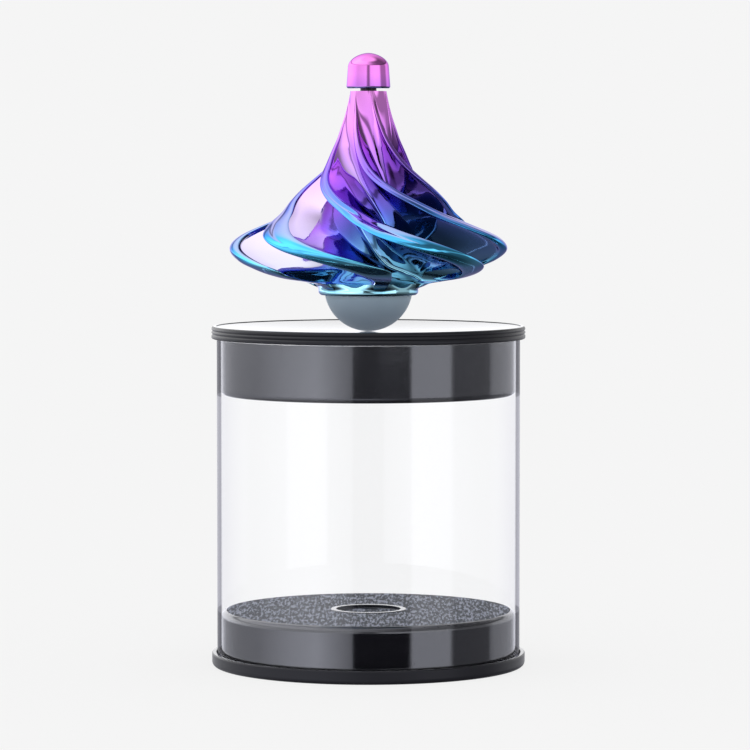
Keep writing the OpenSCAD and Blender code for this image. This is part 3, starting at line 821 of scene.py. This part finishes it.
def pale_floor():
    """A sweep: flat floor that curves up far behind the object."""
    width, front, back, rise, bend = 4000, -1500, 1500, 2600, 700
    path = [(front, 0), (back - bend, 0)]
    path += [(back - bend + bend * math.sin(math.radians(a)), bend - bend * math.cos(math.radians(a)))
             for a in range(6, 91, 6)]
    path.append((back, rise))
    points = [(x, y, z) for y, z in path for x in (-width / 2, width / 2)]
    faces = [(2 * i, 2 * i + 1, 2 * i + 3, 2 * i + 2) for i in range(len(path) - 1)]
    mesh = bpy.data.meshes.new("floor")
    mesh.from_pydata([tuple(c * MM for c in p) for p in points], [], faces)
    mesh.polygons.foreach_set("use_smooth", [True] * len(mesh.polygons))
    mesh.materials.append(floor_paint("floor_pale", FLOOR_TONE, BACKDROP - FLOOR_TONE))
    obj = bpy.data.objects.new("floor", mesh)
    bpy.context.collection.objects.link(obj)
    obj.visible_glossy = False


def window(n, value, lo, hi, soft):
    """1 between lo and hi, falling to 0 over soft on either side."""
    rising = n.map(value, lo - soft, lo + soft, smooth=True)
    falling = n.map(value, hi - soft, hi + soft, 1.0, 0.0, smooth=True)
    return n.math("MULTIPLY", rising, falling)


# Brightness of the studio all round, as (azimuth, brightness): below the horizon, just under it, around it
# and above it
GROUND = [
    (-180, 0.50), (-130, 0.80), (-80, 1.20), (-30, 1.30), (5, 0.90), (35, 0.30), (70, 0.14), (120, 0.20),
    (180, 0.50),
]
HORIZON = [
    (-180, 1.50), (-165, 1.35), (-150, 0.85), (-120, 0.90), (-95, 1.10), (-62, 1.95), (-40, 2.30),
    (-22, 1.45), (-13, 1.05), (-11, 0.10), (32, 0.10), (34, 1.60), (66, 1.60), (69, 0.34), (108, 0.34),
    (112, 0.95), (150, 0.80), (165, 1.35), (180, 1.50),
]
TENT = [
    (-180, 1.40), (-165, 1.80), (-140, 2.50), (-100, 1.90), (-60, 1.25), (-25, 1.40), (-12, 1.50),
    (-4, 0.45), (4, 0.45), (12, 1.50), (35, 1.70), (62, 1.60), (74, 0.55), (104, 0.55), (118, 1.40),
    (150, 1.25), (180, 1.40),
]
SKY = [
    (-180, 1.42), (-165, 1.60), (-145, 2.00), (-100, 2.30), (-60, 1.90), (-15, 1.60), (10, 1.00), (32, 0.45),
    (60, 0.24), (110, 0.20), (140, 0.45), (160, 1.00), (167, 1.25), (180, 1.42),
]
# How dark the seam between the studio's walls and its roof is, and the roof's own brightness
SEAM = 0.65
ROOF = 1.50
# Brightness of the plain backdrop, the share of it that the floor gets as paint, and what the tube adds
BACKDROP = 0.913
FLOOR_TONE = 0.10
TUBE_GLOW = 0.045
# Brightness that a stop's full white stands for
MOST = 3.5
# Camera in millimetres, the height it is aimed at on the upright axis, and its lens
CAMERA_AT = (1.3, -769, 102.1)
AIM_HEIGHT = 57.6
LENS = 186.7


def around(n, azimuth, stops):
    """Brightness by azimuth from a list of (azimuth, brightness)."""
    tones = [((a + 180) / 360, [b / MOST] * 3) for a, b in stops]
    tone = n.ramp(n.map(azimuth, -180, 180), tones)
    return n.math("MULTIPLY", n.add("ShaderNodeSeparateColor", {"Color": tone}).outputs[0], MOST)


def studio_world():
    """Plain backdrop for the camera and even light for matte surfaces; mirrors see a tent with dark gaps."""
    world = bpy.data.worlds.new("studio")
    world.use_nodes = True
    n = Nodes(world.node_tree)
    direction = n.add("ShaderNodeTexCoord").outputs["Generated"]
    x, y, z = axes(n, direction)
    azimuth = n.math("MULTIPLY", n.math("ARCTAN2", x, n.math("MULTIPLY", y, -1.0)), 180 / math.pi)
    elevation = n.math("MULTIPLY", n.math("ARCSINE", z), 180 / math.pi)
    fall = n.map(elevation, -60, -18, 0.15, 1.0, smooth=True)
    ground = n.math("MULTIPLY", around(n, azimuth, GROUND), fall)
    floor_dip = n.map(elevation, -6.0, -4.5, -0.10, 0.0)
    horizon = n.math("MAXIMUM", n.math("ADD", around(n, azimuth, HORIZON), floor_dip), 0.0)
    light = blend(n, n.map(elevation, -13, -10.5, smooth=True), ground, horizon)
    light = blend(n, n.map(elevation, -2.6, -2.3, smooth=True), light, around(n, azimuth, TENT))
    light = blend(n, n.map(elevation, 14, 26, smooth=True), light, around(n, azimuth, SKY))
    seam = n.math("SUBTRACT", 1.0, n.math("MULTIPLY", window(n, elevation, 21, 26, 2.5), SEAM))
    light = n.math("MULTIPLY", light, seam)
    light = blend(n, n.map(elevation, 56, 74, smooth=True), light, ROOF)
    colour = n.mix(n.map(elevation, -12, 12), rgba((0.92, 0.93, 1.0)), rgba((1.0, 1.0, 1.0)))
    mirrored = n.add("ShaderNodeBackground", {"Color": colour, "Strength": light})
    plain = n.add("ShaderNodeBackground", {"Color": rgba((1, 1, 1)),
                                           "Strength": n.math("ADD", BACKDROP, behind_glass(n))})
    even = n.add("ShaderNodeBackground", {"Color": rgba((1, 1, 1)), "Strength": 1.0})
    path = n.add("ShaderNodeLightPath")
    seen = n.math("MAXIMUM", path.outputs["Is Camera Ray"], path.outputs["Is Transmission Ray"])
    mixed = n.add("ShaderNodeMixShader", {0: seen, 1: mirrored.outputs[0], 2: plain.outputs[0]})
    mixed = n.add("ShaderNodeMixShader", {0: path.outputs["Is Diffuse Ray"], 1: mixed.outputs[0],
                                          2: even.outputs[0]})
    n.add("ShaderNodeOutputWorld", {"Surface": mixed.outputs[0]})
    bpy.context.scene.world = world


def camera():
    """Long lens a little above the case's lid, looking slightly down."""
    data = bpy.data.cameras.new("camera")
    data.lens = LENS
    data.sensor_width = 36
    data.clip_end = 20
    obj = bpy.data.objects.new("camera", data)
    bpy.context.collection.objects.link(obj)
    x, y, z = CAMERA_AT
    obj.location = (x * MM, y * MM, z * MM)
    pitch = math.atan2(z - AIM_HEIGHT, -y)
    obj.rotation_euler = (math.pi / 2 - pitch, 0, 0)
    bpy.context.scene.camera = obj


rotor()
hub()
knob()
ball()
tube()
lid()
base()
finish_inner_parts()
pale_floor()
studio_world()
camera()
bpy.context.scene.view_settings.view_transform = "Standard"
